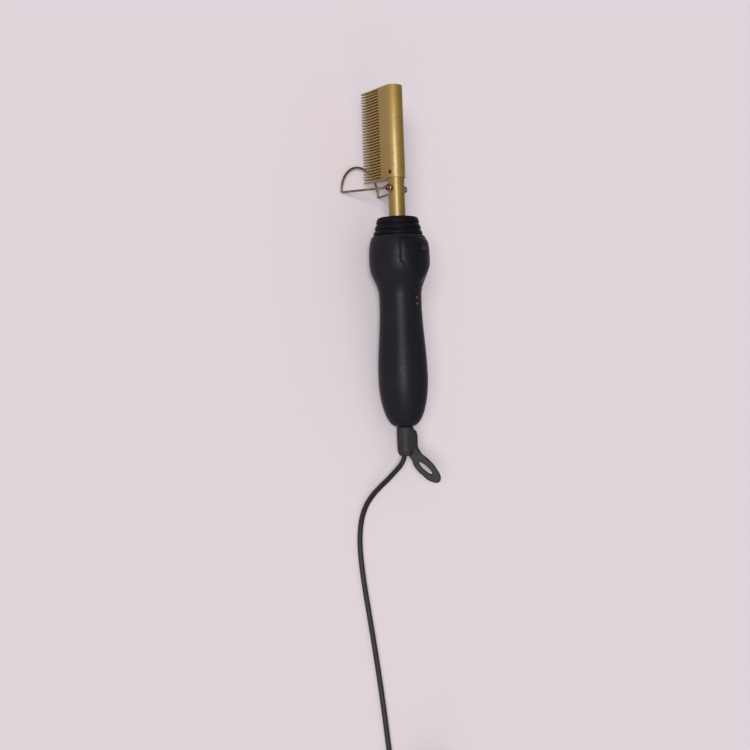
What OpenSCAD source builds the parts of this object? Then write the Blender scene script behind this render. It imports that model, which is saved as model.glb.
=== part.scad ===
// Electric pressing comb with a folding wire stand, a heat dial, a power button and a swivel lead.
// The comb's own frame has the stand pivot at its origin, +X towards the handle and the teeth
// towards -Z. At rest it leans on the stand's foot and on the belly of the handle, above z = 0.

/* [Comb head] */
// Length of the head along the barrel
head_len = 72; // [60:1:90]
// Outer diameter of the round barrel
barrel_d = 14.6; // [14.2:0.1:17]
// Distance from the barrel's axis to the tips of the teeth
tip_depth = 32.5; // [28:0.5:34]
// Length of the teeth
tooth_len = 18.7; // [14:0.1:20]
// Number of teeth
tooth_count = 32; // [24:1:36]
// Share of the tooth pitch that the gap takes at the root
gap_share = 0.46; // [0.35:0.01:0.5]
// How much wider each gap is at the tips than at the root
gap_flare = 0.3; // [0:0.05:0.4]
// Thickness of the teeth at their tips
tip_t = 1.8; // [1.2:0.1:2.4]
// Chamfer round both ends of the barrel
barrel_chamfer = 0.4; // [0.2:0.1:0.6]
// Wall left at the closed end of the barrel
barrel_end = 6; // [3:0.5:9]

/* [Stem] */
// Outer diameter of the stem tube
stem_d = 12.7; // [11.5:0.1:12.8]
// Wall of the stem tube
stem_wall = 0.8; // [0.6:0.1:1]
// Distance from the stand pivot to the head
head_gap = 8; // [6:0.5:12]
// Distance from the stand pivot to the nose of the handle
nose_gap = 23; // [21:0.5:25]
// How far the stem goes into the head
socket_len = 12; // [8:0.5:16]
// Diameter of the set screw in the head
set_screw_d = 2.4; // [1.8:0.1:3]
// Diameter of the heater rod
heater_d = 9.2; // [7:0.1:9.6]
// Length of the heater rod
heater_len = 46; // [35:1:48]
// Wall of the insulating sleeve round the heater
sleeve_t = 0.4; // [0.3:0.1:0.5]

/* [Handle] */
// Front diameter of the nose
nose_d = 31; // [30:0.2:32]
// Length of the nose
nose_len = 13.9; // [13.3:0.1:14.9]
// Width of each groove round the nose
groove_w = 0.9; // [0.6:0.1:1.2]
// Depth of each groove round the nose
groove_depth = 0.9; // [0.5:0.1:1.2]
// Diameter where the nose meets the shells
flare_d = 38.4; // [37.6:0.2:39.2]
// Diameter of the bulge behind the nose
bulge_d = 45.8; // [44.8:0.2:46.8]
// Distance from the stand pivot to the bulge
bulge_at = 52.5; // [51:0.5:54]
// Diameter of the waist
waist_d = 32.4; // [31.6:0.2:34]
// Distance from the stand pivot to the waist
waist_at = 89; // [87:1:91]
// Diameter of the belly
belly_d = 37.8; // [36:0.2:39]
// Distance from the stand pivot to the belly
belly_at = 145; // [142:1:148]
// Diameter of the handle's flat end
tail_d = 12.8; // [12.2:0.2:14]
// Distance from the stand pivot to the handle's flat end
tail_at = 182.5; // [180:0.5:186]
// Wall of the shells
shell_wall = 2.2; // [1.8:0.1:2.5]

/* [Controls] */
// How far the control panel stands above the handle
panel_rise = 0.9; // [0.5:0.1:1.3]
// Angle that the panel reaches round the handle to each side of the spine
panel_angle = 50; // [46:1:54]
// Distance from the stand pivot to where the panel's sides end and its point starts
panel_side_at = 62; // [60:0.5:63]
// Distance from the stand pivot to the panel's blunt point
panel_point_at = 74.6; // [73.6:0.1:75]
// Width of the panel's blunt point
panel_point_w = 6.8; // [5:0.2:8]
// Diameter of the heat dial
dial_d = 18; // [17:0.2:18.4]
// Width of the heat dial
dial_w = 5; // [4:0.2:5.4]
// Distance from the stand pivot to the middle of the dial
dial_at = 48.3; // [48:0.1:48.8]
// How far the dial stands above the panel
dial_proud = 1.2; // [0.8:0.1:1.6]
// Number of grip grooves round the dial
dial_grips = 40; // [24:1:48]
// Diameter of the power button
button_d = 5.8; // [5.4:0.2:6.2]
// Distance from the stand pivot to the power button
button_at = 79.4; // [79:0.1:79.8]
// How far the button stands above the handle
button_proud = 0.9; // [0.8:0.1:1.2]
// Travel of the power button
button_travel = 0.8; // [0.4:0.1:0.8]
// Diameter of each indicator lamp
lamp_d = 2; // [1.6:0.1:2.4]
// Distance from the stand pivot to the first lamp
lamp_at = 85.1; // [84.9:0.1:85.6]
// Distance between the two lamps
lamp_pitch = 4.7; // [4:0.1:5]

/* [Wire stand] */
// Distance from the pivot to the foot
stand_leg = 37.3; // [36.8:0.1:38]
// Width of the stand at its foot
stand_w = 44; // [43.2:0.2:45]
// Diameter of the stand's wire
wire_d = 1.8; // [1.4:0.1:2]
// Diameter of the pivot journal on each rivet
journal_d = 2.2; // [1.8:0.1:2.6]

/* [Swivel boot] */
// Length of the boot behind the handle
boot_len = 22.4; // [21:0.2:23]
// Largest diameter of the boot
boot_d = 12.4; // [11.6:0.2:12.8]
// Diameter of the boot's neck in the handle's end
neck_d = 7.1; // [6.5:0.1:7.6]
// Height of the shoulder that carries the hang loop, above the boot's axis
shoulder = 9; // [8:0.1:9.6]
// Thickness of that shoulder
shoulder_t = 7.6; // [6:0.2:9]
// Width of the hang loop
loop_w = 12.4; // [11.6:0.2:13]
// Thickness of the hang loop
loop_t = 4.4; // [3.6:0.1:5]
// Length of the slot in the hang loop
loop_slot_len = 12.4; // [10:0.2:13]
// Width of the slot in the hang loop
loop_slot_w = 3.8; // [2.8:0.1:3.8]
// Angle of the hang loop to the boot's axis
loop_angle = 46; // [44:1:50]
// How far the boot is turned in its swivel at rest
boot_turn = 35; // [0:1:40]

/* [Circuit board] */
// Thickness of the circuit board
board_t = 1.6; // [1.2:0.1:1.6]
// Width of the circuit board
board_w = 17; // [15:0.5:18]
// Height of the board's underside above the handle's axis
board_z = 2; // [1.8:0.1:2.4]

/* [Lead] */
// Diameter of the lead
cord_d = 3.8; // [3.4:0.1:3.8]
// Mean radius of the coiled part of the lead
coil_r = 21.6; // [21.4:0.2:23]
// Distance between neighbouring turns of the coil
coil_pitch = 4.4; // [4.4:0.1:4.8]
// Length of the plug's moulded body
plug_len = 26; // [24:1:32]
// Width of the plug's moulded body
plug_w = 22; // [20:1:26]
// Thickness of the plug's moulded body
plug_t = 14; // [12:0.5:17]
// Length of the sleeve where the lead enters the plug
plug_sleeve = 12; // [9:0.5:16]

/* [Hidden] */
$fn = 64;

// Clearances: slip for seats, run for turning fits, gap between parts that move past each other
slip = 0.1;
run = 0.06;
gap = 0.3;

barrel_r = barrel_d / 2;
stem_r = stem_d / 2;
stem_inner_r = stem_r - stem_wall;
wire_r = wire_d / 2;
cord_r = cord_d / 2;

// Head
head_from = -head_gap - head_len;
head_to = -head_gap;
tooth_pitch = head_len / (tooth_count - gap_share);
gap_w = gap_share * tooth_pitch;
root_z = -(tip_depth - tooth_len);
taper = asin((barrel_r - tip_t / 2) / (tip_depth - tip_t / 2));
socket_end = head_to - socket_len;
sleeve_r = heater_d / 2 + slip + sleeve_t;
heater_bore_r = sleeve_r + slip;
heater_bore_end = head_from + barrel_end;
heater_from = heater_bore_end + 1.5;
heater_to = heater_from + heater_len;
set_screw_at = head_to - 4.4;

// Handle stations
nose_to = nose_gap + nose_len;
shell_from = nose_to + groove_w / 2;
flare_r = flare_d / 2;
bulge_r = bulge_d / 2;
waist_r = waist_d / 2;
belly_r = belly_d / 2;
tail_r = tail_d / 2;
tail_wall = 5.2;
nose_wall = 2.6;
spigot_len = 5;
spigot_r = flare_r - shell_wall - slip;
nose_bore_r = 12.6;

function ease(u) = (1 - cos(180 * u)) / 2;
function handle_r(x) =
    x < bulge_at ? flare_r + (bulge_r - flare_r) * sqrt(1 - pow((bulge_at - x) / (bulge_at - nose_to), 2))
    : x < waist_at ? bulge_r + (waist_r - bulge_r) * ease(ease((x - bulge_at) / (waist_at - bulge_at)))
    : x < belly_at ? waist_r + (belly_r - waist_r) * ease((x - waist_at) / (belly_at - waist_at))
    : tail_r + (belly_r - tail_r) * sqrt(max(0, 1 - pow((x - belly_at) / (tail_at - belly_at), 2)));
function inner_r(x) = handle_r(x) - shell_wall;

// Stations along the shells, closer together where the curve is tight
shell_x = concat(
    [for (i = [0:4]) bulge_at - (bulge_at - shell_from) * cos(18 * i)],
    [for (i = [0:11]) bulge_at + (waist_at - bulge_at) * i / 12],
    [for (i = [0:7]) waist_at + (belly_at - waist_at) * i / 8],
    [for (i = [0:9]) belly_at + (tail_at - belly_at) * sin(9 * i)]
);
cavity_end = tail_at - tail_wall;

// Pose at rest: the tilt at which the handle's lowest point is level with the foot of the stand
function foot_depth(t) = stand_leg * cos(t) + wire_r;
function belly_depth(t) = max([for (x = shell_x) x * sin(t) + handle_r(x) * cos(t)]);
function solve_tilt(low, high, n) =
    n == 0 ? (low + high) / 2
    : let (mid = (low + high) / 2)
      belly_depth(mid) < foot_depth(mid) ? solve_tilt(mid, high, n - 1) : solve_tilt(low, mid, n - 1);
tilt = solve_tilt(0, 25, 40);
pivot_z = foot_depth(tilt);

// Stand
pin_collar_r = 2;
eye_r = journal_d / 2 + run + wire_r;
collar_to = stem_r + 1.95;
eye_y = collar_to + run * 2 + wire_r;
rivet_head_y = eye_y + wire_r + run * 2;

// Boot and swivel
boot_from = tail_at + gap;
boot_to = boot_from + boot_len;
neck_r = neck_d / 2;
flange_r = 5.4;
flange_from = cavity_end - 4.9;
flange_to = cavity_end - 0.6;
core_from = flange_from - 6;
core_r = 1.7;
ring_r = 2.2;
ring_w = 1.6;
housing_from = core_from - 1;
housing_to = cavity_end - gap;
housing_r = 7.2;
housing_step = flange_from - 0.5;
exit_angle = 20;
exit_len = 5.5;
exit_side = 2.2;
loop_at = [boot_to + 4.9, shoulder + 0.7];
loop_run = loop_slot_len + 7;
loop_end = loop_at + loop_run * [cos(loop_angle), sin(loop_angle)];

// Middle of the resting comb without its lead
function resting_x(x, z) = x * cos(tilt) + z * sin(tilt);
rear_x = resting_x(loop_end[0], loop_end[1] * cos(boot_turn));
front_x = resting_x(head_from, -tip_depth);
pivot_x = -(rear_x + front_x) / 2;

// Controls
dial_r = dial_d / 2;
dial_z = handle_r(dial_at) + panel_rise + dial_proud - dial_r;
shaft_r = 2.5;
pot_from = dial_at + dial_w / 2 + 0.5;
pot_len = 5;
pot_r = 4.4;
button_r = button_d / 2;
board_top = board_z + board_t;
board_from = dial_at + dial_w / 2 + 0.4;
board_to = 119;
switch_h = 3.6;
plunger_r = 1.6;
plunger_top = board_top + 5;
stalk_r = 1.8;

// Screws: [x, y, height of the seat below the axis]
shell_screw_at = [[62, 13, -7], [62, -13, -7], [142, 0, -6]];
screw_head_r = 2.4;
screw_head_h = 1.8;
screw_r = 1.25;
screw_top = 5;
boss_r = screw_head_r + 1.5;
cap_boss_r = 2.9;
board_screw_at = [[72.2, 6], [72.2, -6], [99.5, 6.2], [99.5, -6.2]];
board_boss_r = 1.8;
board_screw_r = 0.8;

// Lead inside the stem
heater_lead_at = [2.9, 1.1];
heater_lead_r = 0.7;
sensor_lead_at = [0.6, 1.3];
sensor_lead_r = 0.45;
sensor_r = 1.4;
lead_to = board_from + 6;
fuse_from = 4;
fuse_len = 11;
fuse_r = 1.5;
supply_lead_r = 0.7;

// Route of the lead from the boot to the coil, in the resting frame
run_route = [
    [128.3, -0.4, 12.65], [133.2, -2.2, 12.03], [135.1, -2.9, 11.8], [139.3, -6, 10.6], [143.5, -11.3, 8.9],
    [148.3, -18.1, 6.8], [153.1, -26.1, 4.9], [158.2, -34, 3.4], [164.5, -41.2, 2.4], [172.5, -47, 2],
    [182, -51, 2], [193, -53.2, 2], [206, -54, 2], [222, -53.7, 2], [240, -52.7, 2], [258, -51.7, 2],
    [276, -50.9, 2], [294, -50.3, 2], [312, -50, 2], [330, -50, 2], [345, -50, 2.3], [359, -50, 2.7],
    [369, -50, 2.9], [377, -50, 2.9], [381, -50, 2.9]
];

// Coil: four layers, each spiralling in or out
coil_layers = 4;
layer_turns = 2.75;
tie_t = 0.9;
coil_base = tie_t + 0.1;
coil_out = coil_r + coil_pitch * layer_turns / 2;
coil_z = coil_base + cord_r;
coil_x = 385;
coil_y = -50 + coil_out;
coil_rings = 24;
tie_w = 8;
tail_route = [
    [389, -50, 16.1], [393, -50, 16.1], [402, -49.2, 15.3], [411, -46.2, 13], [419, -40.5, 10.2],
    [424.6, -32.5, 8], [427, -23, 7], [427, -17, 7], [427, -12, 7]
];

// Plug: two flat blades in a body that lies flat beside the coil
plug_at = [427, -12, 7];
plug_turn = 90;
blade_len = 16;
blade_w = 6.4;
blade_t = 1.5;
blade_gap = 12.7;

// Placement of the comb on its stand
module resting() {
    translate([pivot_x, 0, pivot_z]) rotate([0, tilt, 0]) children();
}

// Turns a solid of revolution from the Z axis onto the comb's axis
module along_x() {
    rotate([0, 90, 0]) children();
}

module bar_x(from, to, r, y = 0, z = 0) {
    translate([from, y, z]) along_x() cylinder(h = to - from, r = r);
}

module tube_x(from, to, r, bore) {
    difference() {
        bar_x(from, to, r);
        bar_x(from - 1, to + 1, bore);
    }
}

module bar_y(from, to, r) {
    rotate([-90, 0, 0]) translate([0, 0, from]) cylinder(h = to - from, r = r);
}

module box(from, to) {
    translate(from) cube(to - from);
}

// Smooth curve through a route's points, with this many steps from each point to the next
function curve(p, steps) = concat([for (i = [0:len(p) - 2]) for (k = [0:steps - 1])
    let (u = k / steps, a = p[max(i - 1, 0)], b = p[i], c = p[i + 1], d = p[min(i + 2, len(p) - 1)])
    (2 * b + (c - a) * u + (2 * a - 5 * b + 4 * c - d) * u * u + (3 * b - a - 3 * c + d) * u * u * u) / 2],
    [p[len(p) - 1]]);

// Tube swept along points: each ring stands square to the path's local direction
function unit(v) = v / norm(v);
function path_dir(p, i) = unit(p[min(i + 1, len(p) - 1)] - p[max(i - 1, 0)]);
function ring_at(p, i, r, sides) =
    let (t = path_dir(p, i), s = unit(cross(t, [0, 0, 1])), u = cross(s, t))
    [for (k = [0:sides - 1]) p[i] + r * (cos(360 * (k + 0.5) / sides) * s + sin(360 * (k + 0.5) / sides) * u)];
module swept_tube(p, r, sides) {
    n = len(p);
    rings = [for (i = [0:n - 1]) each ring_at(p, i, r, sides)];
    skin = [for (i = [0:n - 2]) for (k = [0:sides - 1])
        let (a = i * sides + k, b = i * sides + (k + 1) % sides)
        each [[a, b, b + sides], [a, b + sides, a + sides]]];
    start = [for (k = [1:sides - 2]) [0, k + 1, k]];
    last = (n - 1) * sides;
    stop = [for (k = [1:sides - 2]) [last, last + k, last + k + 1]];
    polyhedron(rings, concat(skin, start, stop), convexity = 10);
}

// Comb head: a round barrel that runs tangent into a tapering plate, cut into teeth
module head_section() {
    tip_r = tip_t / 2;
    tip_z = -(tip_depth - tip_r);
    circle(r = barrel_r);
    translate([0, tip_z]) circle(r = tip_r);
    polygon([
        [-barrel_r * cos(taper), -barrel_r * sin(taper)], [barrel_r * cos(taper), -barrel_r * sin(taper)],
        [tip_r * cos(taper), tip_z - tip_r * sin(taper)], [-tip_r * cos(taper), tip_z - tip_r * sin(taper)]
    ]);
}

module tooth_gap() {
    root_r = gap_w / 2;
    wide = gap_w / 2 + gap_flare / 2;
    translate([0, barrel_r + 1, 0]) rotate([90, 0, 0]) linear_extrude(2 * barrel_r + 2) union() {
        polygon([[-root_r, root_z - root_r], [root_r, root_z - root_r], [wide, -tip_depth - 1],
            [-wide, -tip_depth - 1]]);
        translate([0, root_z - root_r]) circle(r = root_r, $fn = 24);
    }
}

module comb_head() {
    color("#b8954a") resting() difference() {
        union() {
            bar_x(head_from + barrel_chamfer, head_to - barrel_chamfer, barrel_r);
            translate([head_from, 0, 0]) along_x()
                cylinder(h = barrel_chamfer, r1 = barrel_r - barrel_chamfer, r2 = barrel_r);
            translate([head_to - barrel_chamfer, 0, 0]) along_x()
                cylinder(h = barrel_chamfer, r1 = barrel_r, r2 = barrel_r - barrel_chamfer);
            intersection() {
                translate([head_from, 0, 0]) rotate([90, 0, 90]) linear_extrude(head_len) head_section();
                box([head_from - 1, -barrel_r - 1, -tip_depth - 1], [head_to + 1, barrel_r + 1, -2.4]);
            }
        }
        bar_x(socket_end, head_to + 1, stem_r + slip / 2);
        bar_x(heater_bore_end, socket_end + 1, heater_bore_r);
        for (i = [0:tooth_count - 2])
            translate([head_from + (i + 1) * tooth_pitch - gap_w / 2, 0, 0]) tooth_gap();
        translate([set_screw_at, 0, 0]) bar_y(-barrel_r - 1, 0, set_screw_d / 2 + slip / 2);
    }
}

module head_set_screw() {
    color("#4a4038") resting() translate([set_screw_at, 0, 0]) difference() {
        bar_y(-barrel_r + 0.6, -stem_inner_r + 0.3, set_screw_d / 2);
        bar_y(-barrel_r, -barrel_r + 1.3, set_screw_d / 4);
    }
}

// Stem: plain tube with holes for the stand's rivets and the set screw
module stem_tube() {
    color("#c2a35c") resting() difference() {
        tube_x(socket_end + 0.5, nose_to - 1, stem_r, stem_inner_r);
        bar_y(-stem_r - 1, stem_r + 1, journal_d / 2 + slip);
        translate([set_screw_at, 0, 0]) bar_y(-stem_r - 1, 0, set_screw_d / 2 + slip / 2);
    }
}

module heater_rod() {
    color("#e8e2d4") resting() bar_x(heater_from, heater_to, heater_d / 2);
}

module heater_sleeve() {
    color("#d9c79a") resting()
        tube_x(heater_from, heater_to, sleeve_r, heater_d / 2 + slip);
}

module thermal_sensor() {
    color("#3b3b3b") resting()
        bar_x(heater_to + slip, heater_to + 3.4, sensor_r, z = sensor_lead_at[1]);
}

module thermal_fuse() {
    color("#cfd2d6") resting() bar_x(fuse_from, fuse_from + fuse_len, fuse_r,
        y = -heater_lead_at[0], z = heater_lead_at[1]);
}

module heater_leads() {
    color("#f0ece2") resting() {
        bar_x(heater_to + slip, lead_to, heater_lead_r, y = heater_lead_at[0], z = heater_lead_at[1]);
        bar_x(heater_to + slip, fuse_from, heater_lead_r, y = -heater_lead_at[0], z = heater_lead_at[1]);
        bar_x(fuse_from + fuse_len, lead_to, heater_lead_r, y = -heater_lead_at[0],
            z = heater_lead_at[1]);
    }
}

module sensor_leads() {
    color("#b03a2e") resting() for (side = [-1, 1])
        bar_x(heater_to + 3.4 + slip, lead_to, sensor_lead_r, y = side * sensor_lead_at[0],
            z = sensor_lead_at[1]);
}

// One rivet: flare inside the tube, shank, collar, journal for the wire eye and a pointed head
module stand_rivet() {
    bar_y(stem_inner_r - 1.1, stem_inner_r - 0.35, journal_d / 2 + 0.8);
    bar_y(stem_inner_r - 0.6, stem_r + 0.2, journal_d / 2);
    bar_y(stem_r + 0.02, collar_to, pin_collar_r);
    bar_y(collar_to - 0.1, rivet_head_y + 0.1, journal_d / 2);
    translate([0, rivet_head_y, 0]) rotate([-90, 0, 0]) {
        cylinder(h = 0.5, r = 2.3);
        translate([0, 0, 0.5]) cylinder(h = 1.2, r1 = 2.3, r2 = 0.7);
    }
}

module stand_rivets() {
    color("#7a4a34") resting() for (side = [0, 180]) rotate([0, 0, side]) stand_rivet();
}

// Wire stand: two eyes on the rivets, two spreading legs and a half-round foot. The legs and the
// foot are drawn a little thinner than the eyes and the two bends.
drawn_r = wire_r - 0.03;
module wire_eye(side) {
    translate([0, side * eye_y, 0]) rotate([90, 0, 0]) rotate_extrude()
        translate([eye_r, 0]) circle(r = wire_r, $fn = 32);
}

module wire_leg(side) {
    from = [0, side * eye_y, -eye_r];
    reach = [0, side * stand_w / 2, -stand_leg] - from;
    translate(from) rotate([side * -acos(reach[2] / norm(reach)), 0, 0])
        cylinder(h = norm(reach), r = drawn_r, $fn = 32);
}

module stand_wire() {
    color("#c9b98c") resting() {
        for (side = [-1, 1]) {
            wire_eye(side);
            wire_leg(side);
            translate([0, side * stand_w / 2, -stand_leg]) sphere(r = wire_r, $fn = 32);
        }
        translate([0, 0, -stand_leg]) rotate([0, 0, 90]) rotate_extrude(angle = 180)
            translate([stand_w / 2, 0]) circle(r = drawn_r, $fn = 32);
    }
}

// Stem mounting inside the nose
module stem_flange() {
    color("#b9bcc0") resting()
        tube_x(nose_gap + nose_wall + slip, nose_gap + nose_wall + 1.6, nose_bore_r - slip,
            stem_r + slip / 2);
}

module stem_retainer() {
    color("#d8d2c2") resting()
        tube_x(nose_gap + nose_wall + 1.7, nose_to + 1, nose_bore_r - slip, stem_r + slip / 2);
}

// Nose: three rings that widen towards the handle, with grooves between them
ring_at_x = [nose_gap, nose_gap + 0.36 * nose_len, nose_gap + 0.69 * nose_len, nose_to];
function nose_r(x) = nose_d / 2 + (flare_r - nose_d / 2) * (x - nose_gap) / nose_len;
module handle_nose() {
    lip = groove_w / 2;
    rings = [for (i = [0:2])
        let (from = ring_at_x[i] + (i == 0 ? 0 : lip), to = ring_at_x[i + 1] - lip)
        each [[nose_r(from) - (i == 0 ? 1 : 0.4), from], [nose_r(from) - 0.1, from + 0.4],
            [nose_r(from) + 0.2, from + 0.9], [nose_r(to) + 0.1, to - 0.7], [nose_r(to) - 0.3, to],
            [nose_r(to) - groove_depth, to + lip * 0.5], [nose_r(to) - groove_depth, to + lip * 1.5]]];
    color("#1d1b22") resting() along_x() rotate_extrude() polygon(concat(
        [[stem_r + slip, nose_gap]], rings,
        [[spigot_r, nose_to + lip - 0.05], [spigot_r, nose_to + spigot_len],
            [nose_bore_r, nose_to + spigot_len], [nose_bore_r, nose_gap + nose_wall],
            [stem_r + slip, nose_gap + nose_wall]]
    ));
}

// Handle shells: two halves of one turned shell, parted level with the axis
shell_outer = concat([for (x = shell_x) [handle_r(x), x]], [[tail_r, tail_at]]);
shell_inner = concat(
    [[inner_r(cavity_end), cavity_end]],
    [for (i = [len(shell_x) - 1:-1:0]) let (x = shell_x[i])
        if (x < cavity_end - 0.5 && x > nose_to + spigot_len + 1) [inner_r(x), x]],
    [[spigot_r + slip, nose_to + spigot_len + 0.5], [spigot_r + slip, shell_from]]
);

module half_turned(outline, side) {
    along_x() rotate([0, 0, 90 * side]) rotate_extrude(angle = 180) polygon(outline);
}

module shell_half(side) {
    half_turned(concat(shell_outer, [[neck_r + slip, tail_at], [neck_r + slip, cavity_end]], shell_inner),
        side);
}

// Space inside the shells' outer skin, used to trim bosses to the shell
module shell_space(side) {
    half_turned(concat([[0, shell_from]], [for (x = shell_x) [handle_r(x) - shell_wall / 2, x]],
        [[0, tail_at - 1]]), side);
}

module shell_cuts() {
    // Seat of the panel, pocket of the dial, hole of the button and holes of the lamps
    panel_solid(slip, panel_rise, panel_sink + slip);
    dial_pocket();
    translate([button_at, 0, 0]) cylinder(h = 30, r = button_r + run);
    for (i = [0, 1]) translate([lamp_at + i * lamp_pitch, 0, 0])
        cylinder(h = 30, r = lamp_d / 2 + slip / 2);
}

module upper_shell() {
    color("#1f1d25") resting() difference() {
        union() {
            shell_half(1);
            intersection() {
                shell_space(1);
                for (s = shell_screw_at) translate([s[0], s[1], 0]) cylinder(h = 30, r = cap_boss_r);
            }
        }
        for (s = shell_screw_at) translate([s[0], s[1], -1])
            cylinder(h = screw_top + 2, r = screw_r + slip / 2);
        shell_cuts();
    }
}

module lower_shell() {
    color("#1f1d25") resting() difference() {
        union() {
            shell_half(-1);
            intersection() {
                shell_space(-1);
                union() {
                    for (s = shell_screw_at) translate([s[0], s[1], -30]) cylinder(h = 30, r = boss_r);
                    for (b = board_screw_at) translate([b[0], b[1], -30])
                        cylinder(h = 30 + board_z, r = board_boss_r);
                }
            }
            for (b = board_screw_at) translate([b[0], b[1], -1])
                cylinder(h = 1 + board_z, r = board_boss_r);
        }
        for (s = shell_screw_at) translate([s[0], s[1], 0]) {
            translate([0, 0, -30]) cylinder(h = 30 + s[2], r = screw_head_r + slip);
            translate([0, 0, s[2] - 1]) cylinder(h = 30, r = screw_r + slip);
        }
        for (b = board_screw_at) translate([b[0], b[1], board_z - 5])
            cylinder(h = 6, r = board_screw_r + slip / 2);
    }
}

module shell_screws() {
    color("#8d9095") resting() for (s = shell_screw_at) translate([s[0], s[1], 0]) difference() {
        union() {
            translate([0, 0, s[2] - screw_head_h]) cylinder(h = screw_head_h, r = screw_head_r);
            translate([0, 0, s[2] - 0.1]) cylinder(h = screw_top - s[2], r = screw_r);
        }
        for (turn = [0, 90]) rotate([0, 0, turn])
            translate([-1.5, -0.3, s[2] - screw_head_h - 0.1]) cube([3, 0.6, 0.9]);
    }
}

// Control panel: a raised shield on the spine whose blunt point aims at the button
panel_from = shell_from + 2.4;
panel_sink = 0.8;
panel_x = [for (x = shell_x) if (x > panel_from + 0.5 && x < panel_point_at + 2) x];
module panel_solid(grow, rise, sink) {
    x0 = panel_from - grow;
    stations = concat([x0], panel_x, [panel_point_at + 3]);
    top = [for (x = stations) [handle_r(x) + rise, x]];
    low = [for (i = [len(stations) - 1:-1:0]) [handle_r(stations[i]) - sink, stations[i]]];
    angle = panel_angle + grow * 2.8;
    half = handle_r(panel_side_at) * sin(panel_angle) + grow;
    point = panel_point_w / 2 + grow;
    intersection() {
        along_x() rotate([0, 0, 180 - angle]) rotate_extrude(angle = 2 * angle) polygon(concat(top, low));
        linear_extrude(40) polygon([
            [x0 - 1, -half - 4], [panel_side_at - 1, -half - 4], [panel_side_at + grow, -half],
            [panel_point_at + grow, -point], [panel_point_at + grow, point],
            [panel_side_at + grow, half], [panel_side_at - 1, half + 4], [x0 - 1, half + 4]
        ]);
    }
}

module dial_pocket() {
    bar_x(dial_at - dial_w / 2 - gap, dial_at + dial_w / 2 + gap, dial_r + gap, z = dial_z);
}

module control_panel() {
    color("#2a2832") resting() difference() {
        panel_solid(0, panel_rise, panel_sink);
        dial_pocket();
    }
}

// Circuit board and what it carries
module circuit_board() {
    color("#2f6b3c") resting() difference() {
        box([board_from, -board_w / 2, board_z], [board_to, board_w / 2, board_top]);
        for (b = board_screw_at) translate([b[0], b[1], 0]) cylinder(h = 10, r = board_screw_r + slip);
        for (side = [-1, 1]) translate([shell_screw_at[0][0], side * shell_screw_at[0][1], 0])
            cylinder(h = 10, r = boss_r + gap);
    }
}

module board_screws() {
    color("#b9bcc0") resting() for (b = board_screw_at) translate([b[0], b[1], 0]) {
        translate([0, 0, board_z - 4.5]) cylinder(h = board_t + 4.6, r = board_screw_r);
        translate([0, 0, board_top]) cylinder(h = 1, r = board_screw_r + 0.8);
    }
}

module dial_potentiometer() {
    color("#34506b") resting() difference() {
        union() {
            bar_x(pot_from, pot_from + pot_len, pot_r, z = dial_z);
            box([pot_from, -pot_r, board_top], [pot_from + pot_len, pot_r, dial_z]);
        }
        bar_x(pot_from - 1, pot_from + 3.4, shaft_r + run, z = dial_z);
    }
}

module button_switch() {
    color("#2b2b2b") resting() translate([button_at, 0, 0]) difference() {
        box([-3, -3, board_top], [3, 3, board_top + switch_h]);
        translate([0, 0, board_top + 1]) cylinder(h = 10, r = plunger_r + run);
    }
}

module lamp(x) {
    top = handle_r(x) + 0.1;
    translate([x, 0, board_top]) cylinder(h = 1.4, r = 1.6);
    translate([x, 0, board_top + 1]) cylinder(h = top - board_top - 1, r = lamp_d / 2);
    translate([x, 0, top - 0.45]) intersection() {
        sphere(r = lamp_d / 2 + 0.1, $fn = 32);
        cylinder(h = 2, r = lamp_d / 2);
    }
}

module power_lamp() {
    color("#d8202a") resting() lamp(lamp_at);
}

module ready_lamp() {
    color("#d8202a") resting() lamp(lamp_at + lamp_pitch);
}

module control_chip() {
    color("#26262a") resting() box([63, -3.4, board_top], [70, 3.4, board_top + 1.6]);
}

module heater_triac() {
    color("#303036") resting() box([94, -3.8, board_top], [98, 3.8, board_top + 6]);
}

module smoothing_capacitor() {
    color("#3c4a78") resting() bar_x(102.5, 115.5, 3.6, z = board_top + 3.7);
}

// Swivel in the end of the handle
module swivel_housing() {
    color("#d5d2c8") resting() difference() {
        tube_x(housing_from, housing_to, housing_r, flange_r + slip);
        bar_x(housing_from - 1, housing_from - 0.5, 1);
    }
    color("#d5d2c8") resting() difference() {
        bar_x(housing_from, housing_step, flange_r + 0.5);
        bar_x(housing_from - 1, housing_step + 1, ring_r + gap);
        for (side = [0, 1]) mirror([0, side, 0]) brush_window(side);
    }
}

module brush_window(side) {
    ring_from = core_from + 0.6 + side * 2.8;
    box([housing_from - 1, ring_r, -1.1], [ring_from + ring_w + 0.1, housing_r + 1, 1.1]);
}

module swivel_core() {
    color("#e0ddd3") resting() bar_x(core_from, flange_from, core_r);
}

module slip_rings() {
    color("#c9a24a") resting() for (side = [0, 1])
        translate([core_from + 0.6 + side * 2.8, 0, 0]) tube_x(0, ring_w, ring_r, core_r + 0.02);
}

module swivel_brushes() {
    color("#b87333") resting() for (side = [0, 1]) mirror([0, side, 0])
        box([housing_from - 2.5, ring_r + 0.05, -1], [core_from + 0.6 + side * 2.8 + ring_w, ring_r + 0.95, 1]);
}

module supply_leads() {
    color("#7a5230") resting() for (side = [-1, 1]) bar_x(board_to - 4, housing_from - 0.6, supply_lead_r,
        y = side * (cap_boss_r + supply_lead_r + gap), z = board_z - supply_lead_r - 0.1);
}

// Boot: flange and neck held in the handle, a moulded barrel and a hang loop on a shoulder
module loop_plane(t) {
    rotate([90, 0, 0]) translate([0, 0, -t / 2]) linear_extrude(t) children();
}

module at_loop() {
    translate(loop_at) rotate(loop_angle) children();
}

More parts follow.
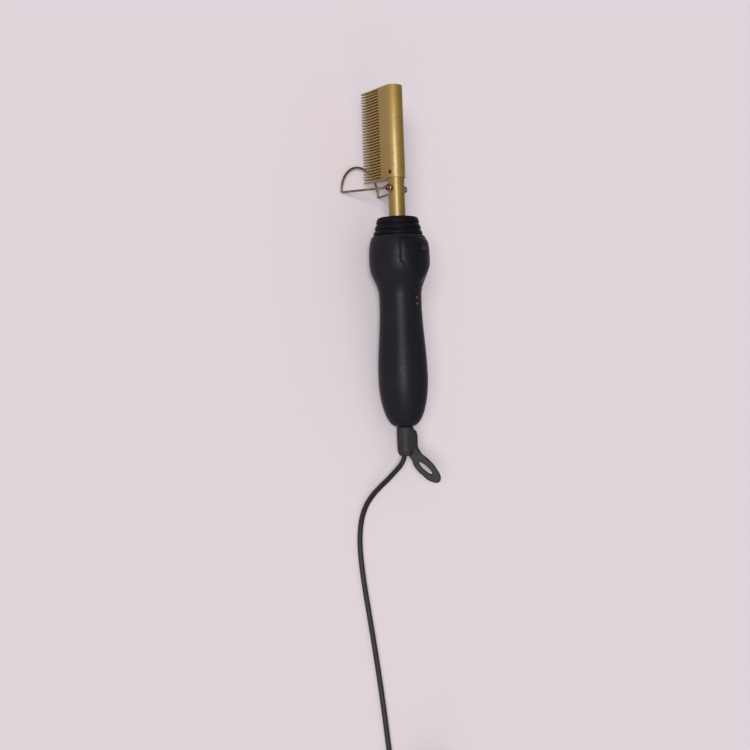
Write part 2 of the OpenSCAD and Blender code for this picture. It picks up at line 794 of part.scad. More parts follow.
// The loop is a pointed oval: two wide arcs that a third one rounds off at both ends
module loop_body() {
    wide_at = 4;
    arc_r = 26;
    end_r = 12;
    intersection() {
        loop_arc(wide_at, arc_r, arc_r - loop_w / 2);
        loop_arc(wide_at, arc_r, loop_w / 2 - arc_r);
        loop_arc(loop_run - end_r, end_r, 0);
    }
}

module loop_arc(u, r, v) {
    loop_plane(loop_t) at_loop() translate([u, v]) circle(r = r, $fn = 128);
}

module loop_shoulder() {
    loop_plane(shoulder_t) polygon([
        [boot_from + 2, 0], [boot_from + 2, shoulder - 3], [boot_from + 4, shoulder - 1.2],
        [boot_from + 7, shoulder], [boot_to - 7, shoulder], [boot_to - 4, shoulder + 0.8],
        [boot_to - 0.3, shoulder + 3.4], [boot_to + 3.4, shoulder + 0.6], [boot_to + 3, shoulder - 3.5],
        [boot_to + 0.8, 1.8], [boot_to - 2, 0]
    ]);
}

module loop_slot() {
    r = loop_slot_w / 2;
    loop_plane(2 * shoulder_t) at_loop() {
        translate([r, 0]) circle(r = r);
        translate([r, -r]) square([loop_slot_len - 2 * r, 2 * r]);
        translate([loop_slot_len - r, 0]) circle(r = r);
    }
}

module hang_loop_boot() {
    r = boot_d / 2;
    color("#22202a") resting() difference() {
        rotate([-boot_turn, 0, 0]) difference() {
            union() {
                along_x() rotate_extrude() polygon([
                    [0, flange_from], [flange_r, flange_from], [flange_r, flange_to], [neck_r, flange_to],
                    [neck_r, boot_from], [r - 0.5, boot_from], [r, boot_from + 0.6], [r, boot_to - 6],
                    [r - 0.6, boot_to - 2.5], [r - 1.6, boot_to - 0.8], [r - 2.8, boot_to], [0, boot_to]
                ]);
                loop_shoulder();
                loop_body();
            }
            loop_slot();
        }
        translate([boot_to, -exit_side, 0]) rotate([0, 0, -exit_angle])
            bar_x(-exit_len, 6, cord_r + slip);
    }
}

// Dial with grip grooves, on the shaft that turns in the potentiometer
module temperature_dial() {
    color("#191820") resting() translate([dial_at, 0, dial_z]) difference() {
        bar_x(-dial_w / 2, dial_w / 2, dial_r);
        bar_x(-dial_w, dial_w, shaft_r + 0.02);
        for (i = [0:dial_grips - 1]) rotate([360 * i / dial_grips, 0, 0])
            bar_x(-dial_w, dial_w, 0.45, z = dial_r + 0.1);
    }
}

module dial_shaft() {
    color("#cfd2d6") resting()
        bar_x(dial_at - dial_w / 2 + 0.6, pot_from + 3.1, shaft_r, z = dial_z);
}

// Power button: a cap that follows the handle's slope, with a flange that keeps it in
module power_button() {
    flange_z = inner_r(button_at + button_r + 1) - gap - 1.6;
    cap_x = [for (x = shell_x) if (x > bulge_at + 5 && x < waist_at) x];
    color("#26242d") resting() union() {
        intersection() {
            translate([button_at, 0, flange_z]) cylinder(h = 30, r = button_r);
            half_turned(concat([[0, bulge_at + 5]], [for (x = cap_x) [handle_r(x) + button_proud, x]],
                [[0, waist_at]]), 1);
        }
        translate([button_at, 0, flange_z]) cylinder(h = 1, r = button_r + 0.8);
        translate([button_at, 0, plunger_top]) cylinder(h = flange_z - plunger_top + 0.1, r = stalk_r);
    }
}

module switch_plunger() {
    color("#8d2f2f") resting()
        translate([button_at, 0, board_top + 2.2]) cylinder(h = plunger_top - board_top - 2.2, r = plunger_r);
}

// Lead: free stretch, coil, tail and plug
module cord_run() {
    color("#1b1a20") swept_tube(curve(run_route, 2), cord_r, 8);
}

function coil_point(a) =
    let (layer_a = 360 * layer_turns,
        layer = min(floor(a / layer_a), coil_layers - 1),
        part = a / layer_a - layer,
        inward = layer % 2 == 0 ? part : 1 - part,
        nearest = min(coil_layers - 1, max(1, round(a / layer_a))),
        climb = min(1, max(0, (a - nearest * layer_a) / 180 + 0.5)),
        r = coil_out - coil_pitch * layer_turns * inward,
        z = coil_z + coil_pitch * (nearest - 1 + ease(climb)))
    [coil_x + r * cos(a - 90), coil_y + r * sin(a - 90), z];

coil_steps = ceil(coil_rings * layer_turns * coil_layers);
coil_path = concat(
    [[coil_x - 4, coil_y - coil_out, coil_z]],
    [for (i = [0:coil_steps]) coil_point(360 * layer_turns * coil_layers * i / coil_steps)],
    [coil_point(360 * layer_turns * coil_layers) + [4, 0, 0]]
);
module cord_coil() {
    color("#1b1a20") swept_tube(coil_path, cord_r, 6);
}

module cord_tail() {
    color("#1b1a20") swept_tube(tail_route, cord_r, 8);
}

// Tie: a flat strap round all the turns of the coil
module tie_outline(grow) {
    low = [coil_out - coil_pitch * layer_turns - cord_r - 0.8, coil_z - cord_r - 0.1];
    high = [coil_out + cord_r + 0.4, coil_z + coil_pitch * (coil_layers - 1) + cord_r + 0.3];
    r = 2;
    translate(low - [grow, grow]) {
        size = high - low + 2 * [grow, grow];
        translate([r, 0]) square([size[0] - 2 * r, size[1]]);
        translate([0, r]) square([size[0], size[1] - 2 * r]);
        for (x = [r, size[0] - r], y = [r, size[1] - r]) translate([x, y]) circle(r = r);
    }
}

module coil_tie() {
    color("#141318") translate([coil_x - tie_w / 2, coil_y, 0]) rotate([90, 0, 90]) linear_extrude(tie_w)
        difference() {
            tie_outline(tie_t);
            tie_outline(0);
        }
}

// Plug: a tapered sleeve, a moulded body with eased corners and two flat blades
module at_plug() {
    translate(plug_at) rotate([0, 0, plug_turn]) children();
}

module plug_face(w, ease_by) {
    from = plug_sleeve - 3;
    to = plug_sleeve + plug_len;
    polygon([
        [from, -w * 0.24], [from + 5, -w * 0.36], [from + 11, -w / 2], [to - ease_by, -w / 2],
        [to, -w / 2 + ease_by], [to, w / 2 - ease_by], [to - ease_by, w / 2], [from + 11, w / 2],
        [from + 5, w * 0.36], [from, w * 0.24]
    ]);
}

module blade_pair(grow) {
    for (side = [-1, 1]) translate([0, side * blade_gap / 2, 0])
        box([plug_sleeve + plug_len - 6 - grow, -blade_t / 2 - grow, -blade_w / 2 - grow],
            [plug_sleeve + plug_len + blade_len, blade_t / 2 + grow, blade_w / 2 + grow]);
}

module plug_body() {
    color("#1b1a20") at_plug() difference() {
        union() {
            along_x() cylinder(h = plug_sleeve, r1 = cord_r + 1, r2 = plug_t * 0.34);
            intersection() {
                translate([0, 0, -plug_t]) linear_extrude(2 * plug_t) plug_face(plug_w, 2);
                rotate([90, 0, 0]) translate([0, 0, -plug_w]) linear_extrude(2 * plug_w) plug_face(plug_t, 1.5);
            }
        }
        blade_pair(0.05);
    }
}

module plug_blades() {
    color("#c9b46a") at_plug() difference() {
        blade_pair(0);
        translate([plug_sleeve + plug_len + blade_len - 4.5, 0, 0]) bar_y(-plug_w, plug_w, 1.5);
        for (side = [-1, 1]) translate([plug_sleeve + plug_len + blade_len, 0, side * blade_w / 2])
            rotate([0, 45, 0]) cube([2, 2 * plug_w, 2], center = true);
    }
}

// Least distance between turns of the coil that pass each other, less the lead's diameter
function turn_gap(i) = min([for (j = [i + 14:len(coil_path) - 1]) norm(coil_path[i] - coil_path[j])]) - cord_d;
echo(least_gap_between_turns = min([for (i = [0:len(coil_path) - 15]) turn_gap(i)]));
function path_len(p) = [for (i = [1:len(p) - 1]) norm(p[i] - p[i - 1])] * [for (i = [1:len(p) - 1]) 1];
echo(lead_length = path_len(curve(run_route, 2)) + path_len(coil_path) + path_len(tail_route));
echo(tilt = tilt, pivot_x = pivot_x, pivot_z = pivot_z);

hang_loop_boot();
swivel_core();
slip_rings();
cord_run();
cord_coil();
cord_tail();
coil_tie();
plug_body();
plug_blades();
comb_head();
head_set_screw();
stem_tube();
heater_rod();
heater_sleeve();
thermal_sensor();
thermal_fuse();
heater_leads();
sensor_leads();
stand_rivets();
stem_flange();
stem_retainer();
handle_nose();
upper_shell();
lower_shell();
shell_screws();
control_panel();
circuit_board();
board_screws();
dial_potentiometer();
button_switch();
power_lamp();
ready_lamp();
control_chip();
heater_triac();
smoothing_capacitor();
swivel_housing();
swivel_brushes();
supply_leads();
temperature_dial();
dial_shaft();
power_button();
switch_plunger();
stand_wire();
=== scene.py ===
import bmesh
import bpy
import math
from mathutils import Matrix, Vector


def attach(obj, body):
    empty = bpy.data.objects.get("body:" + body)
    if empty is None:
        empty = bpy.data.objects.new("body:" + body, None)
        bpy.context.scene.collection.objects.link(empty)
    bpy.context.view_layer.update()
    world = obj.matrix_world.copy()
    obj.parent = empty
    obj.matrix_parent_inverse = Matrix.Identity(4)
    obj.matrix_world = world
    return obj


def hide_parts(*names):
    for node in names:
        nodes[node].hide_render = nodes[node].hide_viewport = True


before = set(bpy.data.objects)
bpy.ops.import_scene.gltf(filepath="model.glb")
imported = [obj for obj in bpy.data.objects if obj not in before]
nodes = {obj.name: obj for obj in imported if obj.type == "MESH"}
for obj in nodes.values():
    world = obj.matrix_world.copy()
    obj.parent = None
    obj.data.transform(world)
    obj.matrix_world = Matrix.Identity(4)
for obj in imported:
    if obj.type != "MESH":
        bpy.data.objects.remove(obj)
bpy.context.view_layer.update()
scene = bpy.context.scene
scene.view_settings.view_transform = "Standard"

# The comb's own frame in millimetres: stand pivot at the origin, +X to the handle, teeth to -Z
MM = Matrix.Scale(0.001, 4)
PIVOT = (-0.0703863, 0, 0.0379018)
TILT = math.radians(7.24947)
REST = Matrix.Translation(PIVOT) @ Matrix.Rotation(TILT, 4, "Y") @ MM

# Sizes of the head, its socket for the stem and its set screw
HEAD_FROM, HEAD_TO, BARREL_R = -80, -8, 7.3
TIP_R, TIP_Z, ROOT_Z = 0.9, -32.5, -10.6
TEETH, GAP_SHARE = 32, 0.46
TOOTH_EASE, MOUTH_EASE, TIP_RISE, MOUTH_RISE = 0.3, 0.14, 0.35, 0.4
SOCKET_DEPTH, SOCKET_R = 12, 6.4
SCREW_X, SCREW_R, SCREW_HOLE_R, SCREW_RIM_R = HEAD_TO - 4.4, 1.2, 1.6, 1.85
HEXAGON_R = 0.68

# Sizes of the stem, the stand and its rivets
STEM_FROM, STEM_TO, STEM_R, STEM_INNER_R = -19.5, 35.9, 6.35, 5.55
WIRE_R, EYE_Y, EYE_R, LEG, HALF_W = 0.89, 9.32, 2.06, 37.3, 22
RIVET_R, COLLAR_R, PIN_R = 2.3, 1.98, 1.1

# Sizes of the handle: stations along it, radii there, its walls and its screws as (x, y, seat)
NOSE_FROM, NOSE_TO, BULGE_AT, WAIST_AT, BELLY_AT, TAIL_AT = 23, 36.9, 52.5, 89, 145, 182.5
NOSE_R, FLARE_R, BULGE_R, WAIST_R, BELLY_R, TAIL_R = 15.5, 19.2, 22.9, 16.2, 18.9, 6.4
NOSE_BORE_R, NOSE_INNER_R, NOSE_WALL_X, NOSE_LAND_R = 6.55, 12.6, 25.6, 16.9
WALL, MOUTH_R, MOUTH_X, TAIL_BORE_R, TAIL_WALL_X = 2.2, 17.0, 42.4, 3.65, 177.3
SHELL_SCREWS = [(62, 13, -7), (62, -13, -7), (142, 0, -6)]
WELL_R, POST_R = 2.55, 3.9

# How far the shells step back where they meet, and the run of a groove beside each ring of the nose
SEAM_STEP, RING_GAP = 0.14, 0.45

# Sizes of the panel, the dial and the button
PANEL_FROM, PANEL_MIDDLE, CORNER_X, POINT_X, POINT_HALF = 39.75, 57, 58.5, 74.6, 3.4
PANEL_ANGLE = math.radians(50)
PANEL_RISE, PANEL_SINK = 0.9, 1.5
UNROLL_R = 20
DIAL_X, DIAL_R, DIAL_HALF, DIAL_BORE_R, DIAL_RISE, DIAL_GAP = 48.3, 9.0, 2.5, 2.5, 1.2, 0.15
BUTTON_X, BUTTON_R, BUTTON_GAP = 79.4, 2.9, 0.06

# Sizes of the boot, its loop and the lead
BOOT_FROM, BOOT_TO, BOOT_R = 182.8, 205.2, 6.45
BOOT_TURN, LOOP_ANGLE = math.radians(35), math.radians(46)
LOOP_HALF_T, LOOP_FLAT_HALF = 2.2, 1.5
SLOT_MID, SLOT_LONG, SLOT_WIDE = (214.7, 14.5), 6.4, 1.5
CORD_R, EXIT_Y = 1.9, -2.2
COIL_X, COIL_Y, COIL_Z = 385, -50, 2.9
COIL_OUT, COIL_PITCH, LAYERS, TURNS = 27.65, 4.4, 4, 2.75

# Camera at the photograph's viewing angle: the comb stands upright in the picture
RIGHT = Vector((0.13068, 0.65257, 0.74638))
UP = Vector((-0.98289, -0.01332, 0.18373))
BACK = Vector((0.12984, -0.75761, 0.63966))
EYE = (0.12344, -0.59393, 0.50120)
camera = bpy.data.objects.new("camera", bpy.data.cameras.new("camera"))
scene.collection.objects.link(camera)
camera.data.lens = 48
camera.data.sensor_width = 36
camera.data.shift_y = -0.08
camera.data.clip_start = 0.01
camera.matrix_world = Matrix.Translation(EYE) @ Matrix((RIGHT, UP, BACK)).transposed().to_4x4()
scene.camera = camera


# Materials
def material(name, base, other, rough, metallic, tone, grain, depth, spread=0.06, wear=None, **sockets):
    """Two close tones mixed by a broad noise, roughness varied by a middle one, and a fine bump.
    Tone and grain are features per metre, depth is the bump's height in millimetres."""
    mat = bpy.data.materials.new(name)
    mat.use_nodes = True
    tree = mat.node_tree
    shader = tree.nodes["Principled BSDF"]

    def add(kind, **values):
        node = tree.nodes.new(kind)
        for key, value in values.items():
            node.inputs[key].default_value = value
        return node

    place = add("ShaderNodeTexCoord")

    def noise(scale, detail):
        node = add("ShaderNodeTexNoise", Scale=scale, Detail=detail, Roughness=0.6)
        tree.links.new(place.outputs["Object"], node.inputs["Vector"])
        return node.outputs["Fac"]

    def ranged(value, **limits):
        node = add("ShaderNodeMapRange", **{key.replace("_", " "): limit for key, limit in limits.items()})
        tree.links.new(value, node.inputs["Value"])
        return node.outputs["Result"]

    def mixed(factor, first, second):
        node = add("ShaderNodeMix")
        node.data_type = "RGBA"
        tree.links.new(factor, node.inputs["Factor"])
        if isinstance(first, tuple):
            node.inputs["A"].default_value = (*first, 1)
        else:
            tree.links.new(first, node.inputs["A"])
        node.inputs["B"].default_value = (*second, 1)
        return node.outputs["Result"]

    colour = mixed(ranged(noise(tone, 4), From_Min=0.35, From_Max=0.65), base, other)
    if wear:
        edge = add("ShaderNodeNewGeometry").outputs["Pointiness"]
        colour = mixed(ranged(edge, From_Min=0.52, From_Max=0.6), colour, wear)
    tree.links.new(colour, shader.inputs["Base Color"])
    gloss = ranged(noise(tone * 6, 3), From_Min=0.3, From_Max=0.7,
                   To_Min=rough - spread, To_Max=rough + spread)
    tree.links.new(gloss, shader.inputs["Roughness"])
    bump = add("ShaderNodeBump", Distance=depth * 0.001, Strength=1.0)
    tree.links.new(noise(grain, 2), bump.inputs["Height"])
    tree.links.new(bump.outputs["Normal"], shader.inputs["Normal"])
    shader.inputs["Metallic"].default_value = metallic
    for key, value in sockets.items():
        shader.inputs[key.replace("_", " ")].default_value = value
    return mat


# Gold lacquer on metal, which darkens towards the edge of a round form
GOLD_EDGE = (0.30, 0.19, 0.14, 1)
gold_head = material("gold_head", (0.36, 0.236, 0.047), (0.325, 0.21, 0.041), 0.68, 1.0, 90, 3500, 0.008,
                     wear=(0.42, 0.28, 0.09), Specular_Tint=GOLD_EDGE, Coat_Weight=1.0, Coat_Roughness=0.34)
# Painted shade tone for the walls between the teeth, set for how the shade there looks
gap_shade_gold = material("gap_shade_gold", (0.38, 0.25, 0.065), (0.33, 0.21, 0.055), 0.6, 1.0, 400, 3500, 0.01)
gold_stem = material("gold_stem", (0.325, 0.210, 0.045), (0.29, 0.186, 0.039), 0.64, 1.0, 90, 2600, 0.003,
                     spread=0.04, Specular_Tint=GOLD_EDGE, Coat_Weight=1.0, Coat_Roughness=0.32)

# Other metals
wire_metal = material("wire_metal", (0.30, 0.21, 0.12), (0.17, 0.115, 0.065), 0.38, 1.0, 300, 5000, 0.006)
rivet_brown = material("rivet_brown", (0.12, 0.05, 0.032), (0.075, 0.032, 0.022), 0.42, 1.0, 500, 5000, 0.006)
dark_steel = material("dark_steel", (0.03, 0.024, 0.02), (0.02, 0.017, 0.014), 0.42, 0.9, 600, 5000, 0.006)
bright_steel = material("bright_steel", (0.56, 0.57, 0.58), (0.48, 0.49, 0.5), 0.3, 1.0, 400, 5000, 0.005)
contact_brass = material("contact_brass", (0.62, 0.47, 0.2), (0.54, 0.4, 0.16), 0.3, 1.0, 300, 4000, 0.005)

# Black plastics, the larger ones with a slightly blue gloss
COOL = (0.9, 0.88, 1.0, 1)
black_shell = material("black_shell", (0.0088, 0.0083, 0.0104), (0.0106, 0.0100, 0.0125), 0.40, 0, 60, 3800,
                       0.015, Specular_IOR_Level=0.09, Specular_Tint=COOL)
black_nose = material("black_nose", (0.0036, 0.0034, 0.0045), (0.0050, 0.0047, 0.0062), 0.50, 0, 80, 3800,
                      0.015, Specular_IOR_Level=0.08, Specular_Tint=COOL)
black_panel = material("black_panel", (0.0044, 0.0041, 0.0058), (0.0058, 0.0054, 0.0074), 0.42, 0, 80, 3800,
                       0.012, Specular_IOR_Level=0.14, Specular_Tint=COOL)
black_dial = material("black_dial", (0.0044, 0.0043, 0.0056), (0.0060, 0.0058, 0.0074), 0.42, 0, 300, 4500,
                      0.008, Specular_IOR_Level=0.14)
black_button = material("black_button", (0.0054, 0.0053, 0.0068), (0.0070, 0.0068, 0.0086), 0.38, 0, 300,
                        4500, 0.006, Specular_IOR_Level=0.16)

# Lamps, rubber and the materials inside
red_lens = material("red_lens", (0.07, 0.026, 0.031), (0.09, 0.033, 0.04), 0.35, 0, 900, 4000, 0.002,
                    Specular_IOR_Level=0.3, Emission_Color=(0.8, 0.3, 0.36, 1), Emission_Strength=0.010)
boot_rubber = material("boot_rubber", (0.0165, 0.0155, 0.0175), (0.021, 0.020, 0.0225), 0.6, 0, 200, 3600,
                       0.015, Specular_IOR_Level=0.2)
cord_rubber = material("cord_rubber", (0.017, 0.0155, 0.0165), (0.022, 0.0205, 0.0215), 0.55, 0, 150, 3600,
                       0.012, Specular_IOR_Level=0.2)
tie_plastic = material("tie_plastic", (0.02, 0.02, 0.022), (0.03, 0.03, 0.032), 0.55, 0, 400, 6000, 0.03)
inner_plastic = material("inner_plastic", (0.5, 0.49, 0.46), (0.44, 0.43, 0.4), 0.5, 0, 200, 3000, 0.02)
heater_ceramic = material("heater_ceramic", (0.8, 0.77, 0.7), (0.72, 0.69, 0.62), 0.6, 0, 200, 4000, 0.03)
lead_sleeve = material("lead_sleeve", (0.7, 0.68, 0.62), (0.62, 0.6, 0.55), 0.6, 0, 300, 8000, 0.03)
board_green = material("board_green", (0.03, 0.16, 0.06), (0.04, 0.2, 0.08), 0.35, 0, 500, 3000, 0.01)

FINISHES = {
    gold_head: "comb_head", dark_steel: "head_set_screw", gold_stem: "stem_tube",
    heater_ceramic: "heater_rod heater_sleeve stem_retainer", wire_metal: "stand_wire",
    rivet_brown: "stand_rivets", black_nose: "handle_nose", black_shell: "upper_shell lower_shell",
    black_panel: "control_panel", black_dial: "temperature_dial", black_button: "power_button",
    red_lens: "power_lamp ready_lamp", boot_rubber: "hang_loop_boot plug_body",
    cord_rubber: "cord_run cord_coil cord_tail", tie_plastic: "coil_tie",
    contact_brass: "slip_rings swivel_brushes plug_blades", board_green: "circuit_board",
    bright_steel: "stem_flange thermal_fuse shell_screws board_screws dial_shaft",
    inner_plastic: "swivel_core thermal_sensor dial_potentiometer button_switch control_chip heater_triac "
                   "smoothing_capacitor swivel_housing switch_plunger",
    lead_sleeve: "heater_leads sensor_leads supply_leads",
}
for finish, names in FINISHES.items():
    for name in names.split():
        nodes[name].data.materials.clear()
        nodes[name].data.materials.append(finish)


# Making and changing pieces
def soften(obj, crease):
    """Smooth shading, up to the crease angle in degrees."""
    obj.data.polygons.foreach_set("use_smooth", [True] * len(obj.data.polygons))
    obj.data.set_sharp_from_angle(angle=math.radians(crease))


def piece(name, shape, finish, body, replaced=(), place=REST, crease=35):
    """Makes an object of a shape, which is vertices in millimetres and faces, in the comb's frame or
    another place. It rides on a body and has a slot for its look."""
    verts, faces = shape
    mesh = bpy.data.meshes.new(name)
    mesh.from_pydata([place @ Vector(v) for v in verts], [], faces)
    bm = bmesh.new()
    bm.from_mesh(mesh)
    bmesh.ops.remove_doubles(bm, verts=bm.verts, dist=2e-7)
    bmesh.ops.recalc_face_normals(bm, faces=bm.faces)
    bm.to_mesh(mesh)
    bm.free()
    obj = bpy.data.objects.new(name, mesh)
    scene.collection.objects.link(obj)
    mesh.materials.append(finish)
    soften(obj, crease)
    if body:
        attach(obj, body)
        if replaced:
            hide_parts(*replaced)
    return obj


def apply_all(obj):
    """Turns the object's modifiers into its mesh."""
    made = bpy.data.meshes.new_from_object(obj.evaluated_get(bpy.context.evaluated_depsgraph_get()))
    obj.modifiers.clear()
    obj.data = made


def cut(obj, *shapes, crease, operation="DIFFERENCE"):
    """Cuts closed shapes out of a piece, or joins them to it."""
    for shape in shapes:
        tool = piece(obj.name + "_cut", shape, obj.data.materials[0], None)
        change = obj.modifiers.new("cut", "BOOLEAN")
        change.operation = operation
        change.object = tool
        change.solver = "EXACT"
        apply_all(obj)
        bpy.data.objects.remove(tool)
    soften(obj, crease)


def ease_rims(obj, width):
    """Bevels the sharp edges of a piece; the width is in millimetres."""
    bm = bmesh.new()
    bm.from_mesh(obj.data)
    rims = [edge for edge in bm.edges if len(edge.link_faces) == 2 and edge.calc_face_angle(0) > 0.7]
    bmesh.ops.bevel(bm, geom=rims, offset=width * 0.001, segments=2, profile=0.6, affect="EDGES",
                    clamp_overlap=True)
    bm.to_mesh(obj.data)
    bm.free()


def fused(name, shapes, voxel, rounds, finish, body, replaced):
    """One moulded skin round several overlapping shapes, with soft inside corners."""
    obj = piece(name, joined(*shapes), finish, body, replaced)
    remesh = obj.modifiers.new("skin", "REMESH")
    remesh.mode = "VOXEL"
    remesh.voxel_size = voxel * 0.001
    relax = obj.modifiers.new("relax", "SMOOTH")
    relax.factor = 0.5
    relax.iterations = rounds
    apply_all(obj)
    soften(obj, 60)


# Shapes
def joined(*shapes):
    """Several shapes as one."""
    verts, faces = [], []
    for shape_verts, shape_faces in shapes:
        faces += [tuple(corner + len(verts) for corner in face) for face in shape_faces]
        verts += shape_verts
    return verts, faces


def quads(rows, count, closed=True):
    """Faces between rows of points, with the same count in each row."""
    faces = []
    for row in range(rows - 1):
        low, high = row * count, (row + 1) * count
        for k in range(count if closed else count - 1):
            after = (k + 1) % count
            faces.append((low + k, low + after, high + after, high + k))
    return faces


def caps(rows, count):
    """The two faces that close the first and the last row."""
    return [tuple(range(count))[::-1], tuple(range((rows - 1) * count, rows * count))]


def on_circle(radius, degrees):
    """A point of the circle round the origin."""
    angle = math.radians(degrees)
    return radius * math.cos(angle), radius * math.sin(angle)


def turned(profile, steps=96, start=0.0, sweep=360.0):
    """Profile of (x, radius) points turned round the comb's axis, from the spine towards +Y."""
    closed = sweep >= 360
    count = steps if closed else steps + 1
    verts = []
    for x, r in profile:
        for k in range(count):
            z, y = on_circle(r, start + sweep * k / steps)
            verts.append((x, y, z))
    return verts, quads(len(profile), count, closed)


def about_y(shape, x, side):
    """Turns a shape of turned() onto the cross axis at x, pointing to one side."""
    return [(x + v[1], side * v[0], v[2]) for v in shape[0]], shape[1]


def about_z(shape, x, y=0.0):
    """Stands a shape of turned() upright at (x, y)."""
    return [(x + v[2], y + v[1], v[0]) for v in shape[0]], shape[1]


def tube(path, radius, sides=16):
    """Tube along a path with capped ends, its rings carried along without twist. The radius is one
    number, or a tuple with one for each point."""
    points = [Vector(point) for point in path]
    last = len(points) - 1
    ahead = [(points[min(i + 1, last)] - points[max(i - 1, 0)]).normalized() for i in range(last + 1)]
    normal = ahead[0].orthogonal().normalized()
    verts = []
    for i, point in enumerate(points):
        normal = (normal - ahead[i] * normal.dot(ahead[i])).normalized()
        side = ahead[i].cross(normal)
        r = radius[i] if isinstance(radius, tuple) else radius
        for k in range(sides):
            angle = 2 * math.pi * k / sides
            verts.append(point + (normal * math.cos(angle) + side * math.sin(angle)) * r)
    return verts, quads(len(points), sides) + caps(len(points), sides)


def smooth_path(route, steps):
    """A smooth curve through the points of a route, with the same number of steps between them."""
    points = [Vector(point) for point in route]
    last = len(points) - 1
    path = []
    for i in range(last):
        a, b, c, d = points[max(i - 1, 0)], points[i], points[i + 1], points[min(i + 2, last)]
        for k in range(steps):
            u = k / steps
            path.append((2 * b + (c - a) * u + (2 * a - 5 * b + 4 * c - d) * u ** 2
                         + (3 * b - a - 3 * c + d) * u ** 3) / 2)
    return path + [points[-1]]


def hulled(*shapes):
    """The tight skin round several shapes."""
    bm = bmesh.new()
    for verts, _ in shapes:
        for v in verts:
            bm.verts.new(v)
    made = bmesh.ops.convex_hull(bm, input=bm.verts)
    inside = [part for part in made["geom_interior"] if isinstance(part, bmesh.types.BMVert)]
    bmesh.ops.delete(bm, geom=inside, context="VERTS")
    bm.verts.index_update()
    shape = [tuple(v.co) for v in bm.verts], [tuple(v.index for v in face.verts) for face in bm.faces]
    bm.free()
    return shape


# Lead: free run, coil and tail on one curve, in the resting frame
RUN_ROUTE = [
    (128.3, -0.4, 12.65), (133.2, -2.2, 12.03), (135.1, -2.9, 11.8), (139.3, -6, 10.6), (143.5, -11.3, 8.9),
    (148.3, -18.1, 6.8), (153.1, -26.1, 4.9), (158.2, -34, 3.4), (164.5, -41.2, 2.4), (172.5, -47, 2),
    (182, -51, 2), (193, -53.2, 2), (206, -54, 2), (222, -53.7, 2), (240, -52.7, 2), (258, -51.7, 2),
    (276, -50.9, 2), (294, -50.3, 2), (312, -50, 2), (330, -50, 2), (345, -50, 2.3), (359, -50, 2.7),
    (369, -50, 2.9), (377, -50, 2.9), (381, -50, 2.9),
]
TAIL_ROUTE = [
    (389, -50, 16.1), (393, -50, 16.1), (402, -49.2, 15.3), (411, -46.2, 13), (419, -40.5, 10.2),
    (424.6, -32.5, 8), (427, -23, 7), (427, -17, 7), (427, -12, 7),
]


def coil_point(angle):
    """A point of the coil, which winds inwards and outwards in turn and climbs between its layers."""
    layer_angle = 360 * TURNS
    layer = min(int(angle // layer_angle), LAYERS - 1)
    part = angle / layer_angle - layer
    inward = part if layer % 2 == 0 else 1 - part
    nearest = min(LAYERS - 1, max(1, math.floor(angle / layer_angle + 0.5)))
    climb = min(1, max(0, (angle - nearest * layer_angle) / 180 + 0.5))
    x, y = on_circle(COIL_OUT - COIL_PITCH * TURNS * inward, angle - 90)
    height = nearest - 1 + (1 - math.cos(math.pi * climb)) / 2
    return COIL_X + x, COIL_Y + COIL_OUT + y, COIL_Z + COIL_PITCH * height


coil_steps = round(40 * TURNS * LAYERS)
coil_path = [coil_point(360 * TURNS * LAYERS * i / coil_steps) for i in range(coil_steps + 1)]
lead_path = smooth_path(RUN_ROUTE, 5) + coil_path + smooth_path(TAIL_ROUTE, 5)
lead = piece("lead", tube(lead_path, CORD_R), cord_rubber, "cord_set",
             ("cord_run", "cord_coil", "cord_tail"), MM)

# Head: a round barrel that runs tangent into a tapering plate cut into teeth. The gaps have round
# ends, and the teeth are eased at their tips.
tooth_pitch = (HEAD_TO - HEAD_FROM) / (TEETH - GAP_SHARE)
gap_half = GAP_SHARE / 2 * tooth_pitch
taper = math.asin((BARREL_R - TIP_R) / (-TIP_Z - TIP_R))
seam_z = -BARREL_R * math.sin(taper)


def half_thickness(z):
    return BARREL_R * math.cos(taper) + (z - seam_z) * math.tan(taper)


def plate_outline():
    """The plate seen from the side: along its seam with the barrel, then back along the teeth."""
    mouth = gap_half + MOUTH_EASE
    points = [(HEAD_FROM, seam_z), (HEAD_TO, seam_z), (HEAD_TO, TIP_Z + TIP_RISE)]
    points += [(HEAD_TO - TOOTH_EASE, TIP_Z)]
    for i in range(TEETH - 1, 0, -1):
        middle = HEAD_FROM + i * tooth_pitch - gap_half
        points += [(middle + mouth + TOOTH_EASE, TIP_Z), (middle + mouth, TIP_Z + MOUTH_RISE)]
        for degrees in range(0, 181, 30):
            x, z = on_circle(gap_half, degrees)
            points.append((middle + x, ROOT_Z - gap_half + z))
        points += [(middle - mouth, TIP_Z + MOUTH_RISE), (middle - mouth - TOOTH_EASE, TIP_Z)]
    return points + [(HEAD_FROM + TOOTH_EASE, TIP_Z), (HEAD_FROM, TIP_Z + TIP_RISE)]


def plate_shape():
    """Both sides of the plate and the rim between them, open along the seam."""
    outline = plate_outline()
    count = len(outline)
    verts = [(x, side * half_thickness(z), z) for side in (-1, 1) for x, z in outline]
    faces = [tuple(range(count)), tuple(range(2 * count - 1, count - 1, -1))]
    faces += [(k, k + count, (k + 1) % count + count, (k + 1) % count) for k in range(1, count)]
    return verts, faces


def barrel_shape():
    """The barrel's arc from one side of the plate to the other, and its two ends."""
    start, steps = math.degrees(taper), 60
    arc = [on_circle(BARREL_R, -start + (180 + 2 * start) * k / steps) for k in range(steps + 1)]
    verts = [(x, y, z) for x in (HEAD_FROM, HEAD_TO) for y, z in arc]
    return verts, quads(2, len(arc), closed=False) + caps(2, len(arc))


